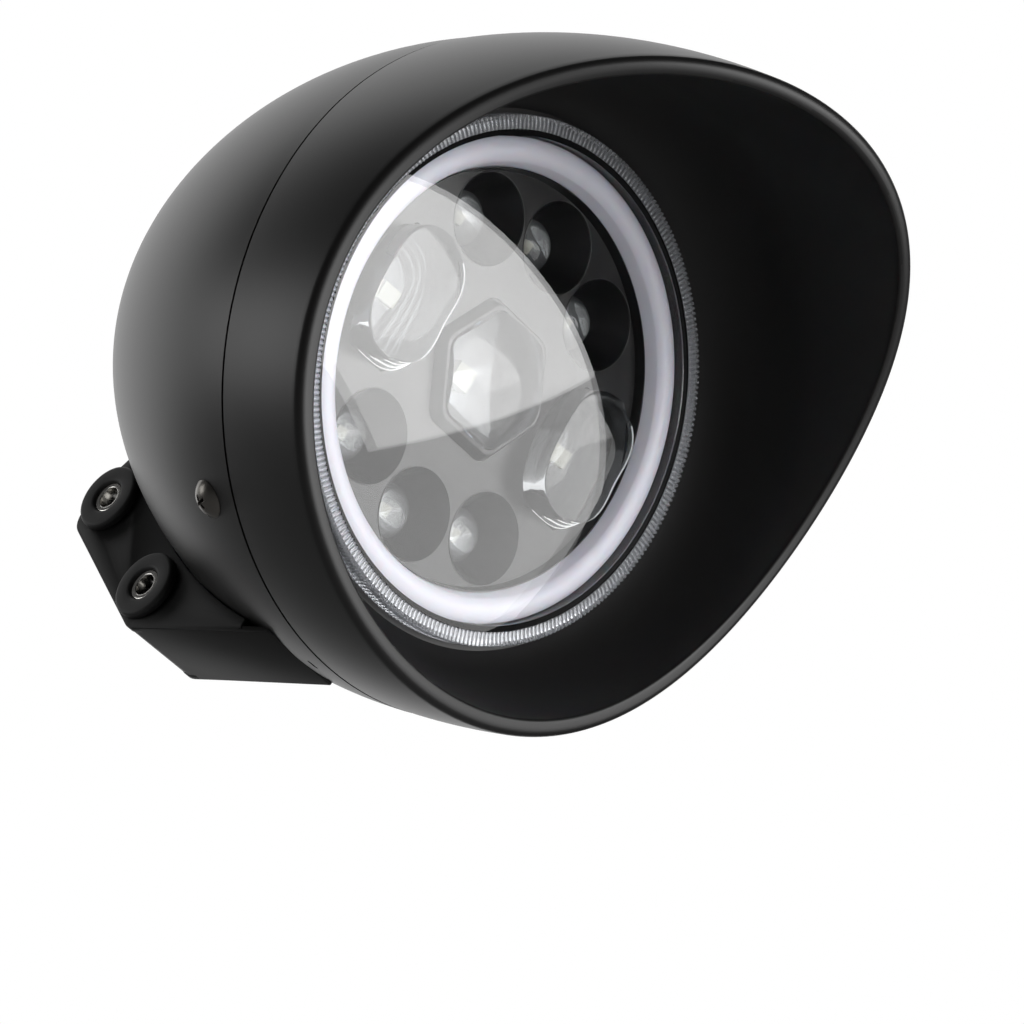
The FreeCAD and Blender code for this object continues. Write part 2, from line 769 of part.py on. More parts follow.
def heat_sink():
    step = halo_outer + slip
    well = mask_radius + slip
    side = well + sink_side_wall
    body = turned([
        (0, board_back), (well, board_back), (well, halo_board_back), (step, halo_board_back),
        (step, collar_back), (collar_radius, collar_back), (collar_radius, sink_flange_back),
        (side, sink_flange_back), (side - sink_draft, sink_back), (0, sink_back),
    ])
    groove = lens_gasket_width / 2 + rubber_fit
    body = body.cut(ring(gasket_radius() + groove, gasket_radius() - groove,
                         collar_back, collar_back + lens_gasket_depth + rubber_fit))
    tip = side - sink_draft
    start = board_back + sink_base / 2
    profile = [(0, start), (tip, start), (tip, sink_back + fin_heel), (hub_radius, sink_back + fin_reach),
               (0, start + fin_reach)]
    corners = [V(r, y, -fin_wall / 2) for r, y in profile]
    fin = Part.Face(Part.makePolygon(corners + corners[:1])).extrude(V(0, 0, fin_wall))
    fins = [fin.rotated(V(0, 0, 0), V(0, 1, 0), FULL_TURN * i / fin_count) for i in range(fin_count)]
    hub = disc(hub_radius, start, hub_back)
    body = body.fuse([hub] + fins)
    cavity = hub_radius - hub_wall
    body = body.cut(disc(cavity, sink_back + driver_set, hub_back))
    body = body.cut(disc(cavity - driver_ledge, sink_back, sink_back + driver_set))
    for x, z in cap_screw_places():
        body = body.cut(disc(cap_screw + screw_room / 2, hub_back - cap_screw_length, hub_back, x, z))
    return body.removeSplitter()


def cap_screw_places():
    pitch = hub_radius - hub_wall / 2
    turns = [math.radians(90 + FULL_TURN * i / cap_screw_count) for i in range(cap_screw_count)]
    return [(pitch * math.cos(turn), pitch * math.sin(turn)) for turn in turns]


def driver_board():
    radius = hub_radius - hub_wall - slip
    return disc(radius, sink_back + driver_set, sink_back + driver_set + board_wall)


def rear_cap():
    spigot = hub_radius - hub_wall - slip
    body = disc(hub_radius, hub_back, cap_back).fuse(disc(spigot, hub_back - cap_wall, hub_back))
    body = body.cut(disc(gland_neck + rubber_fit, hub_back - cap_wall, cap_back))
    for x, z in cap_screw_places():
        body = body.cut(disc(cap_screw + screw_room, hub_back - cap_wall, cap_back, x, z))
    return body.removeSplitter()


def rear_cap_screws():
    screws = []
    for x, z in cap_screw_places():
        head = disc(cap_screw_head, cap_back, cap_back + cap_screw_head_height, x, z)
        shank = disc(cap_screw, cap_back - cap_screw_length, cap_back, x, z)
        screws.append(head.fuse(shank).removeSplitter())
    return Part.makeCompound(screws)


def cable_gland():
    inside = hub_back - cap_wall
    wide = gland_neck + gland_flange
    return turned([
        (gland_bore, inside - gland_lip), (wide, inside - gland_lip), (wide, inside), (gland_neck, inside),
        (gland_neck, cap_back), (wide, cap_back), (wide - gland_lip / 2, cap_back + gland_lip),
        (gland_bore, cap_back + gland_lip),
    ])


def lens_gasket():
    half = lens_gasket_width / 2
    return ring(gasket_radius() + half, gasket_radius() - half, collar_back, collar_back + lens_gasket_depth)


def seat_gasket():
    return ring(collar_radius, opening_radius, ledge_back, collar_front)


def retaining_ring():
    inner = mask_radius + slip + sink_side_wall + slip
    body = ring(collar_radius + boss_room, inner, sink_flange_back, retainer_back)
    ears = [disc(boss_radius, sink_flange_back, retainer_back, x, z) for x, z in boss_places()]
    body = body.fuse(ears).removeSplitter()
    for x, z in boss_places():
        body = body.cut(disc(retainer_screw + screw_room, sink_flange_back, retainer_back, x, z))
    return body


def retainer_screws():
    screws = []
    for x, z in boss_places():
        head = disc(retainer_screw_head, retainer_back, retainer_back + retainer_screw_head_height, x, z)
        shank = disc(retainer_screw, sink_flange_back - retainer_screw_bite, retainer_back, x, z)
        screws.append(head.fuse(shank).removeSplitter())
    return Part.makeCompound(screws)


def all_pieces():
    pieces = {
        "rear_bucket": rear_bucket(),
        "front_bezel": front_bezel(),
        "seam_seal": seam_seal(),
        "side_screws": side_screws(),
        "clip_nuts": clip_nuts(),
        "mounting_bracket": mounting_bracket(),
        "bracket_bolts": bracket_bolts(),
        "bracket_nuts": bracket_nuts(),
        "cable_grommet": cable_grommet(),
        "outer_lens": outer_lens(),
        "halo_ring": halo_ring(),
        "lamp_mask": lamp_mask(),
        "centre_bezel": centre_bezel(),
        "centre_lens": centre_lens(),
        "led_board": led_board(),
        "led_emitters": led_emitters(),
        "halo_board": halo_board(),
        "halo_leds": halo_leds(),
        "heat_sink": heat_sink(),
        "driver_board": driver_board(),
        "rear_cap": rear_cap(),
        "rear_cap_screws": rear_cap_screws(),
        "cable_gland": cable_gland(),
        "lens_gasket": lens_gasket(),
        "seat_gasket": seat_gasket(),
        "retaining_ring": retaining_ring(),
        "retainer_screws": retainer_screws(),
    }
    for side, name in ((1, "left"), (-1, "right")):
        pieces["large_lens_" + name] = large_lens(side)
        for axis, end in ((front_axis, "front"), (rear_axis, "rear")):
            pieces["grommet_" + end + "_" + name] = grommet(axis, side)
            pieces["sleeve_" + end + "_" + name] = sleeve(axis, side)
    for i, place in enumerate(small_places()):
        pieces["small_lens_" + str(i + 1)] = small_lens(place)
    return pieces


os.makedirs("parts", exist_ok=True)
for name, shape in all_pieces().items():
    shape.translated(V(0, -front_axis.y, -front_axis.z)).exportStep("parts/" + name + ".step")
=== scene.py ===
import json
import math

import bpy
from bpy.props import FloatProperty, FloatVectorProperty, IntProperty, PointerProperty, StringProperty
from mathutils import Matrix, Vector


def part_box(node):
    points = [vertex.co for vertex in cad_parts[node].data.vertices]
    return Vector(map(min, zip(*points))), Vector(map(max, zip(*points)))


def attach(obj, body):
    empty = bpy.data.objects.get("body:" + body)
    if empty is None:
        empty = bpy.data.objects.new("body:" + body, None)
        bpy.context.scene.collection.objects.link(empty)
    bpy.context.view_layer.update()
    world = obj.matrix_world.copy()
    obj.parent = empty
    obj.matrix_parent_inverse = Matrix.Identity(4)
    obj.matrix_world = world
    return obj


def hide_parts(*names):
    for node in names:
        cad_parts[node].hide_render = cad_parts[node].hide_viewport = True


bl_info = {
    "name": "Motorcycle headlight",
    "version": (1, 0, 0),
    "blender": (4, 5, 0),
    "location": "View3D > Sidebar > Headlight",
    "description": "Models the pieces of a motorcycle headlight that are seen, with their finishes and stage",
    "category": "Object",
}

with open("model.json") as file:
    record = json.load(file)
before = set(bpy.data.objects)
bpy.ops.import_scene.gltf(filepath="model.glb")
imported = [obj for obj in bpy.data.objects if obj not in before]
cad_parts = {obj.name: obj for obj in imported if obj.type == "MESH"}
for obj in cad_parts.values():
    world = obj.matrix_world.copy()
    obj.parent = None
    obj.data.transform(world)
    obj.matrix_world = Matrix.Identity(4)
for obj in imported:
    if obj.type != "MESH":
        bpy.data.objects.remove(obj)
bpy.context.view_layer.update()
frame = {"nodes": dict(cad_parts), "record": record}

MM = 0.001
FULL_TURN = 2 * math.pi
WELD = 0.002 * MM   # points closer than this are joined
seam_low, seam_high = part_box("seam_seal")
LAMP = (seam_low + seam_high) / 2   # centre of the seam: the lamp shines along -Y from here


def length(name, description, value):
    """A size in millimetres, kept as a distance."""
    return FloatProperty(name=name, description=description, default=value * MM, unit="LENGTH", precision=5)


def degrees(name, description, value):
    """An angle in degrees, kept in radians."""
    return FloatProperty(name=name, description=description, default=math.radians(value), subtype="ANGLE")


def hex_colour(name, description, value):
    """A colour as an sRGB hex value."""
    return StringProperty(name=name, description=description, default=value)


class HeadlightShell(bpy.types.PropertyGroup):
    """Sizes of the housing."""

    radius: length("Shell radius", "Outside of the shell at the seam", 93.87)
    seam: length("Seam", "Gap between bucket and bezel", 0.5)
    wall: length("Bucket wall", "Thickness of the bucket", 2.0)
    flank: length("Flank arc", "Radius of the bucket's flank, seen from the side", 164.5)
    flank_lead: length("Flank lead", "Centre of the flank's arc ahead of the seam", 8.9)
    tail: length("Tail ball", "Radius of the bucket's tail", 62.0)
    tilt: degrees("Tail tilt", "How far the bucket's axis rises towards the tail", 1.3)
    visor: length("Visor arc", "Radius of bezel and visor, seen from the side", 236.0)
    crest: length("Visor crest", "Widest place of the bezel ahead of the seam", 23.5)
    rim_wall: length("Rim", "Thickness of the visor at its rim", 4.7)
    rim_round: length("Rim rounding", "Rounding of the rim's outer edge", 2.6)
    rim_inner_round: length("Inner rim rounding", "Rounding of the rim's inner edge", 0.9)
    rim_mid: length("Rim at the axis", "Rim ahead of the seam at the height of the axis", 40.0)
    rim_half: length("Rim height", "Height over which lean, sweep and hook are given", 90.0)
    rim_lean: length("Rim lean", "First order of the rim's sweep", 26.3)
    rim_sweep: length("Rim sweep", "Second order of the rim's sweep", 27.2)
    rim_hook: length("Rim hook", "Third order of the rim's sweep", 7.0)
    blend: length("Funnel blend", "Ahead of it, the funnel follows the outside", 38.0)
    funnel_start: length("Funnel start", "Radius at which the funnel starts at the lens", 74.5)
    ledge: length("Ledge", "Ledge round the lens, ahead of the seam", 4.5)
    opening: length("Lens opening", "Radius of the hole that the lens stands in", 72.1)
    seat: length("Lens seat", "Width of the seat behind the ledge", 5.2)
    skin: length("Bezel skin", "Thickness of the bezel's outer skin", 2.5)
    liner: length("Funnel wall", "Thickness of the funnel and of the spigot", 2.2)
    hollow: length("Hollow", "Reach of the bezel's hollow ahead of the seam", 25.0)
    spigot: length("Spigot", "Radius of the bezel's spigot inside the bucket", 89.9)
    spigot_depth: length("Spigot depth", "How far the spigot reaches behind the seam", 14.0)
    drain_depth: length("Drain depth", "Drain slot behind the seam", 6.4)
    screw_depth: length("Screw depth", "Side screws behind the seam", 10.9)
    screw_angle: degrees("Screw angle", "Side screws below the horizontal", 54.3)
    screw_head: length("Screw head", "Radius of a side screw's head", 5.4)
    screw_height: length("Screw head height", "Height of a side screw's head", 2.7)


class HeadlightBracket(bpy.types.PropertyGroup):
    """Sizes of the bracket's bottom sheet and of its bushings."""

    sheet: length("Sheet", "Thickness of the bottom sheet", 2.0)
    sheet_half: length("Sheet half width", "Half the width of the bottom sheet", 14.0)
    sheet_front: length("Sheet front", "Place of the sheet's front end along Y", -57.0)
    front_height: length("Sheet front height", "Height of the sheet's front end", -7.15)
    sheet_corner: length("Sheet corner", "Place of the sheet's lowest corner along Y", -2.0)
    corner_gap: length("Corner gap", "Height of that corner over the ears' lowest point", 0.05)
    heel: length("Heel", "Place of the sheet's rear end along Y", 1.6)
    heel_rise: length("Heel rise", "Height of the rear end over the ears' lowest point", 0.8)
    saddle_front: length("Saddle front", "Place along Y where the saddle is cut off", -46.0)
    bolt_front: length("Bolt front", "Place along Y ahead of which no bolt is seen", -43.5)
    ear_half: length("Ear half", "Half the thickness of an ear", 1.5)
    grommet_bore: length("Grommet bore", "Radius of a grommet's bore", 4.85)
    grommet_neck: length("Grommet neck", "Radius of the groove that an ear sits in", 7.0)
    grommet_round: length("Grommet rounding", "Rounding of a grommet's ends", 1.1)
    sleeve_bore: length("Sleeve bore", "Radius of a sleeve's bore", 3.25)
    sleeve_round: length("Sleeve rounding", "Rounding of a sleeve's ends", 0.35)
    sleeve_set_back: length("Sleeve set-back", "Ends of a sleeve inside its grommet", 1.2)


class HeadlightLamp(bpy.types.PropertyGroup):
    """Sizes of the lamp unit."""

    cover_radius: length("Cover radius", "Ribbed flange of the cover lens", 71.5)
    flange: length("Flange width", "Width of the ribbed flange", 2.8)
    flange_ahead: length("Flange place", "Face of the flange ahead of the seam", 6.5)
    shoulder: length("Shoulder", "Height of the cover's upright edge", 2.8)
    rise: length("Dome rise", "Rise of the cover's dome", 10.0)
    cover_wall: length("Cover wall", "Thickness of the cover lens", 1.8)
    collar: length("Collar width", "Width of the collar that is clamped", 5.5)
    collar_depth: length("Collar depth", "Thickness of the collar", 3.0)
    ribs: IntProperty(name="Ribs", description="Ribs round the flange", default=300)
    rib_height: length("Rib height", "Height of a rib over its gap", 0.7)
    rib_body: length("Rib body", "Height of the ribbed ring over the flange", 2.6)
    rib_skirt: length("Rib skirt", "How far the ribs run down outside the flange", 1.8)
    rib_reach: length("Rib reach", "How far the ribs stand out over the flange", 1.6)
    halo_outer: length("Halo outside", "Outer radius of the light guide", 66.6)
    halo_width: length("Halo width", "Width of the light guide's face", 7.0)
    halo_taper: length("Halo taper", "Draw of its inside towards the mask", 1.9)
    halo_depth: length("Halo depth", "Depth of the light guide", 8.1)
    halo_recess: length("Halo recess", "Face of the light guide behind the flange", 0.4)
    skirt_height: length("Skirt height", "Height of the mask's skirt", 2.9)
    well_mouth: length("Well mouth", "Radius of a small well at the mask's face", 13.0)
    step: length("Step", "How far each step of a large lens draws in", 1.3)
    step_rise: length("Step rise", "Height of a step of a large lens", 2.6)


class HeadlightColours(bpy.types.PropertyGroup):
    """Colours of the finishes, as sRGB hex values."""

    housing: hex_colour("Housing", "Satin black coating", "#0d0c0c")
    bracket: hex_colour("Bracket", "Satin black paint", "#080808")
    rubber: hex_colour("Rubber", "Moulded rubber", "#151515")
    steel: hex_colour("Steel", "Polished stainless steel", "#cfcdc9")
    dark_steel: hex_colour("Dark steel", "Dark nickel plate of the side screws", "#66635f")
    zinc: hex_colour("Zinc", "Zinc plated steel", "#b0b4b8")
    mask: hex_colour("Mask", "Black moulding", "#0b0b0c")
    halo: hex_colour("Halo", "Milky light guide", "#bdbdc7")
    optic: hex_colour("Optic", "Clear acrylic", "#eef1f3")


class HeadlightStage(bpy.types.PropertyGroup):
    """Camera and light."""

    camera_place: FloatVectorProperty(name="Camera", description="Camera, from the seam's centre",
                                      default=(-0.682887, -0.846603, -0.386718), subtype="XYZ")
    azimuth: degrees("Azimuth", "Camera round the lamp", -40.09)
    elevation: degrees("Elevation", "Camera above the lamp", -18.13)
    roll: degrees("Roll", "Camera turned about its view", 27.89)
    lens: FloatProperty(name="Focal length", description="On a 36 mm sensor", default=147.61)
    floor_drop: length("Floor", "Floor below the seam's centre", 700.0)
    floor_size: length("Floor size", "Side of the floor", 8000.0)
    room: FloatProperty(name="Room", description="Dim light of the room all round", default=0.07)


def linear(text):
    """sRGB hex to linear colour."""
    parts = [int(text[i:i + 2], 16) / 255 for i in (1, 3, 5)]
    return tuple(c / 12.92 if c <= 0.04045 else ((c + 0.055) / 1.055) ** 2.4 for c in parts)


def node(tree, kind, links=(), **settings):
    """Adds a shader node; settings are its properties, links are (input, output socket) pairs."""
    made = tree.nodes.new(kind)
    for key, value in settings.items():
        setattr(made, key, value)
    for socket, source in links:
        tree.links.new(made.inputs[socket], source)
    return made


def mixed(tree, share, first, second, output="Material Output"):
    """Shows the first shader where the share is 0 and the second where it is 1."""
    both = node(tree, "ShaderNodeMixShader", [(0, share), (1, first.outputs[0]), (2, second.outputs[0])])
    tree.links.new(tree.nodes[output].inputs["Surface"], both.outputs[0])


def principled(name, colour, rough, values):
    """Material with a Principled shader; returns the material, its tree and the shader."""
    material = bpy.data.materials.new(name)
    material.use_nodes = True
    tree = material.node_tree
    shader = tree.nodes["Principled BSDF"]
    shader.inputs["Base Color"].default_value = (*linear(colour), 1)
    shader.inputs["Roughness"].default_value = rough
    for socket, value in values.items():
        shader.inputs[socket].default_value = value
    return material, tree, shader


def plain(name, colour, rough, values):
    """Material with an even surface."""
    return principled(name, colour, rough, values)[0]


def grained(name, colour, rough, values, grain, relief):
    """Material with a fine uneven surface: grain is its size and relief its height, in millimetres."""
    material, tree, shader = principled(name, colour, rough, values)
    place = node(tree, "ShaderNodeTexCoord")
    noise = node(tree, "ShaderNodeTexNoise", [("Vector", place.outputs["Object"])])
    noise.inputs["Scale"].default_value = 1 / (grain * MM)
    noise.inputs["Detail"].default_value = 2
    bump = node(tree, "ShaderNodeBump", [("Height", noise.outputs["Fac"])])
    bump.inputs["Distance"].default_value = relief * MM
    bump.inputs["Strength"].default_value = 1
    tree.links.new(shader.inputs["Normal"], bump.outputs["Normal"])
    return material


def clear(name, colour, rough, values):
    """Clear material that lets light through to what is behind it."""
    material, tree, shader = principled(name, colour, rough, {"Transmission Weight": 1.0, **values})
    path = node(tree, "ShaderNodeLightPath")
    mixed(tree, path.outputs["Is Shadow Ray"], shader, node(tree, "ShaderNodeBsdfTransparent"))
    return material


def looks(hues):
    """How each slot's finish is made: function, material's name, colour, roughness and other values."""
    metal = {"Metallic": 1.0}
    return {
        # Die-cast shell with a satin black powder coat: broad soft highlights and a faint unevenness.
        "housing_black": (grained, "satin black powder coat", hues.housing, 0.4, {"IOR": 1.5}, 0.6, 0.004),
        # The same coat inside the visor, left matt so that it throws no light back.
        "visor_inside": (grained, "matt black powder coat", hues.housing, 0.5, {"IOR": 1.4}, 0.6, 0.004),
        # Sheet steel with black paint, which shines less than the coat of the shell.
        "bracket_black": (grained, "black painted steel", hues.bracket, 0.5, {"IOR": 1.3}, 0.8, 0.004),
        # Bolts in black oxide: a dark metal with a soft sheen.
        "black_steel": (plain, "black oxide steel", hues.bracket, 0.4, {"Metallic": 0.6}),
        # Moulded rubber: dull, with hardly any highlight.
        "black_rubber": (grained, "moulded rubber", hues.rubber, 0.6, {"IOR": 1.5}, 0.5, 0.01),
        # Turned stainless steel, polished: a bright mirror, a little blurred.
        "bright_steel": (plain, "polished stainless steel", hues.steel, 0.2, metal),
        # Steel under a dark nickel plate: a mirror that mostly shows the dark room.
        "dark_steel": (plain, "dark nickel plate", hues.dark_steel, 0.3, metal),
        # Zinc plate on nuts and rings: bluer and duller than the polished steel.
        "zinc_steel": (plain, "zinc plated steel", hues.zinc, 0.38, metal),
        # Clear polycarbonate with a hard coat: seen only by its reflections and edges.
        "clear_cover": (clear, "clear polycarbonate", "#ffffff", 0.0, {"IOR": 1.58}),
        # The ribs, a little frosted from the tool, and tinted whitish grey as painted reflection, so that
        # they show grey and not as glass.
        "ribs_with_painted_reflection": (clear, "tool-frosted polycarbonate", "#d0d2d6", 0.12,
                       {"IOR": 1.5, "Transmission Weight": 0.85}),
        # Clear acrylic: a block that carries light, bright at its edges.
        "clear_optic": (clear, "clear acrylic", hues.optic, 0.0, {"IOR": 1.49}),
        # The same acrylic with a coat against glare: it shows its depth and its edges, but hardly mirrors.
        "coated_optic": (clear, "coated clear acrylic", hues.optic, 0.0,
                         {"IOR": 1.49, "Specular IOR Level": 0.1}),
        # Painted highlight: near-white tubes on the cut edges of the acrylic steps stand in for the light
        # that glints along them.
        "painted_highlight_edge": (plain, "lit acrylic edge", "#f7f8f8", 0.15, {"IOR": 1.49}),
        # Milky light guide: white through and through.
        "halo_white": (plain, "milky acrylic", hues.halo, 0.3,
                       {"IOR": 1.49, "Subsurface Weight": 0.3, "Subsurface Scale": 0.003}),
        # Moulded ABS with a satin polish.
        "mask_black": (plain, "black ABS", hues.mask, 0.3, {"IOR": 1.54}),
        # The same ABS with an eroded texture: dull.
        "cap_black": (plain, "matte black ABS", hues.mask, 0.6, {"IOR": 1.54}),
        # Solder mask of the LED board, with painted shade: a dark colour stands in for the shade behind the
        # lenses, so that the lenses stay clear.
        "board_white": (plain, "shaded solder mask", "#1e1f20", 0.5, {}),
        # Solder mask of the driver board: green with a slight gloss.
        "board_green": (plain, "green solder mask", "#1d5a36", 0.4, {}),
        # Phosphor on unlit LEDs: pale and dull.
        "led_yellow": (plain, "LED phosphor", "#8f8d80", 0.5, {}),
        # Die-cast aluminium, anodised black: a dull, dark metal.
        "black_aluminium": (plain, "black anodised aluminium", "#2a2a2b", 0.5, metal),
    }


finishes = {}


def finish_for(slot):
    """The finish of a material slot, made at its first use."""
    if slot not in finishes:
        make, *values = looks(bpy.context.scene.headlight_colours)[slot]
        finishes[slot] = make(*values)
    return finishes[slot]


def clear_selection():
    """Leaves no object selected."""
    bpy.ops.object.select_all(action="DESELECT")


def select_only(piece):
    """Selects one piece and makes it the active one."""
    clear_selection()
    piece.select_set(True)
    bpy.context.view_layer.objects.active = piece


def select_mesh():
    """Selects all of the active piece's mesh, in edit mode."""
    bpy.ops.object.mode_set(mode="EDIT")
    bpy.ops.mesh.select_all(action="SELECT")


def start_edit(name):
    """New mesh object in edit mode, with a small selected plane in it."""
    clear_selection()
    bpy.ops.mesh.primitive_plane_add(size=MM, location=(0, 0, 0))
    piece = bpy.context.object
    piece.name = name
    select_mesh()
    return piece


def draw_chain(points):
    """Draws a chain of edges from the selected plane, which shrinks to the first point."""
    bpy.ops.mesh.merge(type="CENTER")
    bpy.ops.transform.translate(value=points[0])
    for before, here in zip(points, points[1:]):
        bpy.ops.mesh.extrude_vertices_move(TRANSFORM_OT_translate={"value": here - before})


def close_up():
    """Joins what meets and turns the faces outwards."""
    select_mesh()
    bpy.ops.mesh.remove_doubles(threshold=WELD)
    bpy.ops.mesh.delete_loose()
    select_mesh()
    bpy.ops.mesh.normals_make_consistent()
    bpy.ops.object.mode_set(mode="OBJECT")


def spun(name, chain, centre, axis, steps):
    """Piece that is turned about an axis from a chain of points."""
    piece = start_edit(name)
    draw_chain(chain)
    select_mesh()
    bpy.ops.mesh.spin(steps=steps, angle=FULL_TURN, center=centre, axis=axis)
    close_up()
    return piece


def formed(name, around, section):
    """Ring that is formed from a grid: section(angle) gives the closed outline there."""
    clear_selection()
    count = len(section(0.0))
    bpy.ops.mesh.primitive_grid_add(x_subdivisions=around, y_subdivisions=count, size=1.0, location=(0, 0, 0))
    piece = bpy.context.object
    piece.name = name
    outlines = [section(FULL_TURN * i / around) for i in range(around)]
    for vertex in piece.data.vertices:
        i = round((vertex.co.x + 0.5) * around) % around
        j = round((vertex.co.y + 0.5) * count) % count
        vertex.co = outlines[i][j]
    close_up()
    return piece


def merged_copy(source, name, flat_faces=True):
    """Copy of a CAD node with its triangles joined, to whole flat faces if edges are eased later."""
    piece = bpy.data.objects.new(name, frame["nodes"][source].data.copy())
    bpy.context.collection.objects.link(piece)
    select_only(piece)
    bpy.ops.mesh.customdata_custom_splitnormals_clear()
    select_mesh()
    bpy.ops.mesh.remove_doubles(threshold=WELD)
    if flat_faces:
        bpy.ops.mesh.dissolve_limited(angle_limit=math.radians(0.5))
    bpy.ops.object.mode_set(mode="OBJECT")
    return piece


def block(place, sides, turn=0.0):
    """Box with its middle at a place, turned about Z."""
    clear_selection()
    bpy.ops.mesh.primitive_cube_add(size=1.0, location=place)
    box = bpy.context.object
    box.scale = sides
    box.rotation_euler = (0, 0, turn)
    bpy.ops.object.transform_apply()
    return box


def bevelled(piece, width, angle=35.0, segments=2):
    """Rounds a piece's sharp edges."""
    select_only(piece)
    edge = piece.modifiers.new("edges", "BEVEL")
    edge.width = width * MM
    edge.segments = segments
    edge.limit_method = "ANGLE"
    edge.angle_limit = math.radians(angle)
    edge.use_clamp_overlap = False
    bpy.ops.object.modifier_apply(modifier=edge.name)


def cut_from(piece, tool):
    """Cuts a tool's form out of a piece and removes the tool."""
    select_only(piece)
    cut = piece.modifiers.new("cut", "BOOLEAN")
    cut.object = tool
    cut.solver = "EXACT"
    bpy.ops.object.modifier_apply(modifier=cut.name)
    bpy.data.objects.remove(tool)


def finish(piece, slot, nodes, angle=30.0, look=None):
    """Gives a piece its finish and shading, and puts it on the body in place of its CAD nodes."""
    select_only(piece)
    piece.data.materials.clear()
    piece.data.materials.append(finish_for(look or slot))
    bpy.ops.object.shade_smooth_by_angle(angle=math.radians(angle))
    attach(piece, "root")
    if nodes:
        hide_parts(*nodes)


def on_lamp(flat, turn=0.0):
    """(ahead of the seam, radius) points as points in space, at a turn about the lamp from +X towards +Z."""
    c, d = math.cos(turn), math.sin(turn)
    return [LAMP + Vector((radius * c, -ahead, radius * d)) for ahead, radius in flat]


def cap(radius, rise):
    """Radius of the ball that a cap is cut from, and the angle from the cap's top to its edge."""
    ball = (radius ** 2 + rise ** 2) / (2 * rise)
    return ball, math.asin(radius / ball)


def spaced(first, last, count):
    """Evenly spaced values, both ends among them."""
    return [first + (last - first) * i / (count - 1) for i in range(count)]


def arc_points(centre, radius, first, last, count):
    """(along, radius) points of an arc about (along, radius), by the angle from the radial direction."""
    turns = spaced(first, last, count)
    return [(centre[0] + radius * math.sin(t), centre[1] + radius * math.cos(t)) for t in turns]


def bucket_section(shell, turn):
    """Closed outline of the bucket's wall at a turn about its axis, from the mouth to the tail and back."""
    axis = Vector((0, math.cos(shell.tilt), math.sin(shell.tilt)))
    across = Vector((1, 0, 0)) * math.cos(turn) + Vector((1, 0, 0)).cross(axis) * math.sin(turn)
    centre = shell.radius - math.sqrt(shell.flank ** 2 - shell.flank_lead ** 2)
    flank = (-shell.flank_lead, centre)
    ball = (math.sqrt((shell.flank - shell.tail) ** 2 - centre ** 2) - shell.flank_lead, 0.0)
    join = math.atan2(ball[0] - flank[0], ball[1] - flank[1])
    sides = []
    for wall in (0.0, shell.wall):
        first = 0.0
        # The tilted flank meets the upright plane of the mouth where these steps settle.
        for _ in range(20):
            radius = centre + (shell.flank - wall) * math.cos(first)
            depth = (shell.seam / 2 - across.y * radius) / axis.y
            first = math.asin((depth + shell.flank_lead) / (shell.flank - wall))
        flat = arc_points(flank, shell.flank - wall, first, join, 44)[:-1]
        flat += arc_points(ball, shell.tail - wall, join, math.pi / 2, 20)
        sides.append([LAMP + axis * depth + across * radius for depth, radius in flat])
    return sides[0] + sides[1][::-1]


def skin_frame(shell, depth, turn):
    """Point on the bucket's outside and the direction out of it."""
    centre = shell.radius - math.sqrt(shell.flank ** 2 - shell.flank_lead ** 2)
    radius = centre + math.sqrt(shell.flank ** 2 - (depth + shell.flank_lead) ** 2)
    across = Vector((math.cos(turn), 0, math.sin(turn)))
    tilt = Matrix.Rotation(shell.tilt, 3, "X")
    out = across * (radius - centre) + Vector((0, depth + shell.flank_lead, 0))
    return LAMP + tilt @ (across * radius + Vector((0, depth, 0))), (tilt @ out).normalized()


class HEADLIGHT_OT_rear_bucket(bpy.types.Operator):
    """Egg-shaped shell behind the seam"""

    bl_idname = "headlight.rear_bucket"
    bl_label = "Rear bucket"

    def execute(self, context):
        shell = context.scene.headlight_shell
        piece = formed("rear_bucket_shell", around=200, section=lambda turn: bucket_section(shell, turn))
        self.drain(piece, shell)
        finish(piece, "housing_black", ["rear_bucket"])
        return {"FINISHED"}

    def drain(self, piece, shell):
        """Short slot through the bottom of the wall."""
        point = skin_frame(shell, shell.drain_depth, -math.pi / 2)[0]
        sides = (4.0 * MM, 1.4 * MM, 8.0 * MM)
        slot = block(point, sides)
        bevelled(slot, 0.6)
        cut_from(piece, slot)


def rim_ahead(shell, height):
    """How far the rim lies ahead of the seam at a height over the axis."""
    share = height / shell.rim_half
    return shell.rim_mid + shell.rim_lean * share + shell.rim_sweep * share ** 2 + shell.rim_hook * share ** 3


def rounded_corner(before, corner, after, radius, count):
    """Points of an arc that rounds a corner of a flat outline."""
    first = (before - corner).normalized()
    second = (after - corner).normalized()
    half = first.angle(second) / 2
    reach = radius / math.tan(half)
    centre = corner + (first + second).normalized() * (radius / math.sin(half))
    start = corner + first * reach - centre
    stop = corner + second * reach - centre
    sweep = start.angle(stop)
    points = []
    for i in range(count):
        share = i / (count - 1)
        part = start * math.sin((1 - share) * sweep) + stop * math.sin(share * sweep)
        points.append(centre + part / math.sin(sweep))
    return points


